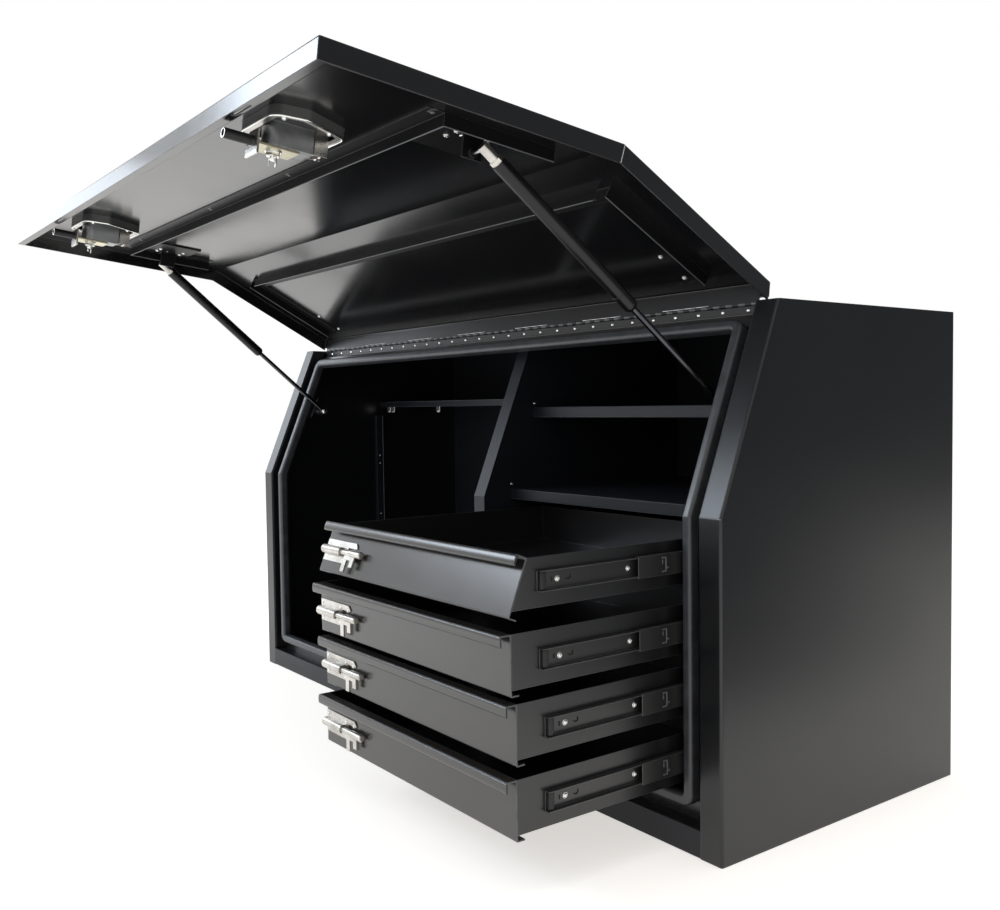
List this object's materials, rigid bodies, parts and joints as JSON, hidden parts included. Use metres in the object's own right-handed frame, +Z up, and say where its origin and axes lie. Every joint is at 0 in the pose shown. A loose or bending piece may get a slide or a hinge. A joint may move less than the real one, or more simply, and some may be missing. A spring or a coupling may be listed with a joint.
{
  "type": "tool chest",
  "caption": "Aluminium tool box with a cranked lift-up lid on gas struts, sealed door frame, shelves and a stack of sliding drawers.",
  "frame": {"origin": "centre of the underside of the box", "axes": "+X along the width to the right, +Y to the back, +Z up; the door opening faces -Y"},
  "size_m": [1.55, 1.1886, 1.063],
  "materials": {
    "black_powder_coat": "sheet aluminium with a satin black powder coat",
    "drawer_powder_coat": "sheet aluminium with a semi gloss dark powder coat",
    "seal_rubber": "matt black extruded rubber",
    "hinge_metal": "plain rolled aluminium",
    "slide_steel": "rolled steel with a thin black coat",
    "zinc_plate": "bright zinc plated steel",
    "lock_black": "black coated pressed steel",
    "strut_black": "semi gloss black enamel",
    "strut_rod": "polished rod"
  },
  "bodies": {
    "cabinet": {"side_panel_left": "black_powder_coat", "side_panel_right": "black_powder_coat", "back_panel": "black_powder_coat", "floor_panel": "black_powder_coat", "top_panel": "black_powder_coat", "gutter_left": "black_powder_coat", "gutter_right": "black_powder_coat", "gutter_bottom": "black_powder_coat", "gutter_top": "black_powder_coat", "door_seal": "seal_rubber", "divider_panel": "black_powder_coat", "drawer_bay_panel": "black_powder_coat", "shelf_right_upper": "black_powder_coat", "shelf_right_lower": "black_powder_coat", "shelf_left": "black_powder_coat", "shelf_brackets": "black_powder_coat", "hinge_fixed_leaf": "hinge_metal", "hinge_pin": "hinge_metal", "strut_lower_brackets": "black_powder_coat", "slide_outer_members": "slide_steel"},
    "lid": {"lid_skin": "black_powder_coat", "lid_stiffener_front": "black_powder_coat", "lid_stiffener_slant": "black_powder_coat", "hinge_moving_leaf": "hinge_metal", "strut_upper_brackets": "black_powder_coat", "lock_housing_left": "lock_black", "lock_housing_right": "lock_black", "lock_clamps": "zinc_plate"},
    "strut_cylinder_left": {"strut_cylinder_left": "strut_black"},
    "strut_rod_left": {"strut_rod_left": "strut_rod"},
    "strut_cylinder_right": {"strut_cylinder_right": "strut_black"},
    "strut_rod_right": {"strut_rod_right": "strut_rod"},
    "lock_cam_left": {"lock_cam_left": "zinc_plate"},
    "lock_handle_left": {"lock_handle_left": "zinc_plate"},
    "lock_cam_right": {"lock_cam_right": "zinc_plate"},
    "lock_handle_right": {"lock_handle_right": "zinc_plate"},
    "drawer_1": {"drawer_1_tray": "drawer_powder_coat", "drawer_1_front": "drawer_powder_coat", "drawer_1_slide_inner": "slide_steel", "drawer_1_latch_body": "zinc_plate"},
    "drawer_1_middle": {"drawer_1_slide_middle": "slide_steel"},
    "drawer_1_bolt": {"drawer_1_latch_bolt": "zinc_plate"},
    "drawer_2": {"drawer_2_tray": "drawer_powder_coat", "drawer_2_front": "drawer_powder_coat", "drawer_2_slide_inner": "slide_steel", "drawer_2_latch_body": "zinc_plate"},
    "drawer_2_middle": {"drawer_2_slide_middle": "slide_steel"},
    "drawer_2_bolt": {"drawer_2_latch_bolt": "zinc_plate"},
    "drawer_3": {"drawer_3_tray": "drawer_powder_coat", "drawer_3_front": "drawer_powder_coat", "drawer_3_slide_inner": "slide_steel", "drawer_3_latch_body": "zinc_plate"},
    "drawer_3_middle": {"drawer_3_slide_middle": "slide_steel"},
    "drawer_3_bolt": {"drawer_3_latch_bolt": "zinc_plate"},
    "drawer_4": {"drawer_4_tray": "drawer_powder_coat", "drawer_4_front": "drawer_powder_coat", "drawer_4_slide_inner": "slide_steel", "drawer_4_latch_body": "zinc_plate"},
    "drawer_4_middle": {"drawer_4_slide_middle": "slide_steel"},
    "drawer_4_bolt": {"drawer_4_latch_bolt": "zinc_plate"}
  },
  "joints": [
    {"name": "lid_hinge", "type": "hinge", "parent": "cabinet", "child": "lid", "pos_m": [0, -0.141, 0.8145], "axis": [1, 0, 0], "range_deg": [0, 55], "stiffness_Nm_per_rad": 60, "springref_deg": -57.3},
    {"name": "strut_swing_left", "type": "hinge", "parent": "lid", "child": "strut_cylinder_left", "pos_m": [-0.637, -0.59886, 1.00002], "axis": [1, 0, 0], "range_deg": [-1.83, 0.5]},
    {"name": "strut_stroke_left", "type": "slide", "parent": "strut_cylinder_left", "child": "strut_rod_left", "axis": [-0.0696, 0.773, -0.6305], "range_m": [-0.1522, 0.002]},
    {"name": "strut_swing_right", "type": "hinge", "parent": "lid", "child": "strut_cylinder_right", "pos_m": [0.637, -0.59886, 1.00002], "axis": [1, 0, 0], "range_deg": [-1.83, 0.5]},
    {"name": "strut_stroke_right", "type": "slide", "parent": "strut_cylinder_right", "child": "strut_rod_right", "axis": [0.0696, 0.773, -0.6305], "range_m": [-0.1522, 0.002]},
    {"name": "lock_turn_left", "type": "hinge", "parent": "lid", "child": "lock_cam_left", "pos_m": [-0.445, -0.80638, 1.04591], "axis": [0, -0.1184, -0.993], "range_deg": [0, 90]},
    {"name": "lock_fold_left", "type": "hinge", "parent": "lock_cam_left", "child": "lock_handle_left", "pos_m": [-0.445, -0.80601, 1.04899], "axis": [1, 0, 0], "range_deg": [0, 80]},
    {"name": "lock_turn_right", "type": "hinge", "parent": "lid", "child": "lock_cam_right", "pos_m": [0.445, -0.80638, 1.04591], "axis": [0, -0.1184, -0.993], "range_deg": [0, 90]},
    {"name": "lock_fold_right", "type": "hinge", "parent": "lock_cam_right", "child": "lock_handle_right", "pos_m": [0.445, -0.80601, 1.04899], "axis": [1, 0, 0], "range_deg": [0, 80]},
    {"name": "drawer_1_slide", "type": "slide", "parent": "cabinet", "child": "drawer_1", "axis": [0, -1, 0], "range_m": [-0.371, 0.014]},
    {"name": "drawer_1_middle_slide", "type": "slide", "parent": "cabinet", "child": "drawer_1_middle", "axis": [0, -1, 0], "range_m": [-0.1865, 0.008]},
    {"name": "drawer_1_bolt_slide", "type": "slide", "parent": "drawer_1", "child": "drawer_1_bolt", "axis": [1, 0, 0], "range_m": [-0.022, 0]},
    {"name": "drawer_2_slide", "type": "slide", "parent": "cabinet", "child": "drawer_2", "axis": [0, -1, 0], "range_m": [-0.37, 0.015]},
    {"name": "drawer_2_middle_slide", "type": "slide", "parent": "cabinet", "child": "drawer_2_middle", "axis": [0, -1, 0], "range_m": [-0.186, 0.0085]},
    {"name": "drawer_2_bolt_slide", "type": "slide", "parent": "drawer_2", "child": "drawer_2_bolt", "axis": [1, 0, 0], "range_m": [-0.022, 0]},
    {"name": "drawer_3_slide", "type": "slide", "parent": "cabinet", "child": "drawer_3", "axis": [0, -1, 0], "range_m": [-0.378, 0.007]},
    {"name": "drawer_3_middle_slide", "type": "slide", "parent": "cabinet", "child": "drawer_3_middle", "axis": [0, -1, 0], "range_m": [-0.19, 0.0045]},
    {"name": "drawer_3_bolt_slide", "type": "slide", "parent": "drawer_3", "child": "drawer_3_bolt", "axis": [1, 0, 0], "range_m": [-0.022, 0]},
    {"name": "drawer_4_slide", "type": "slide", "parent": "cabinet", "child": "drawer_4", "axis": [0, -1, 0], "range_m": [-0.381, 0.004]},
    {"name": "drawer_4_middle_slide", "type": "slide", "parent": "cabinet", "child": "drawer_4_middle", "axis": [0, -1, 0], "range_m": [-0.1915, 0.003]},
    {"name": "drawer_4_bolt_slide", "type": "slide", "parent": "drawer_4", "child": "drawer_4_bolt", "axis": [1, 0, 0], "range_m": [-0.022, 0]}
  ],
  "couplings": [
    {"joint": "strut_swing_left", "follows": "lid_hinge", "ratio": -0.02424},
    {"joint": "strut_stroke_left", "follows": "lid_hinge", "m_per_rad": -0.15644},
    {"joint": "strut_swing_right", "follows": "lid_hinge", "ratio": -0.02424},
    {"joint": "strut_stroke_right", "follows": "lid_hinge", "m_per_rad": -0.15644},
    {"joint": "drawer_1_middle_slide", "follows": "drawer_1_slide", "ratio": 0.5},
    {"joint": "drawer_2_middle_slide", "follows": "drawer_2_slide", "ratio": 0.5},
    {"joint": "drawer_3_middle_slide", "follows": "drawer_3_slide", "ratio": 0.5},
    {"joint": "drawer_4_middle_slide", "follows": "drawer_4_slide", "ratio": 0.5}
  ]
}
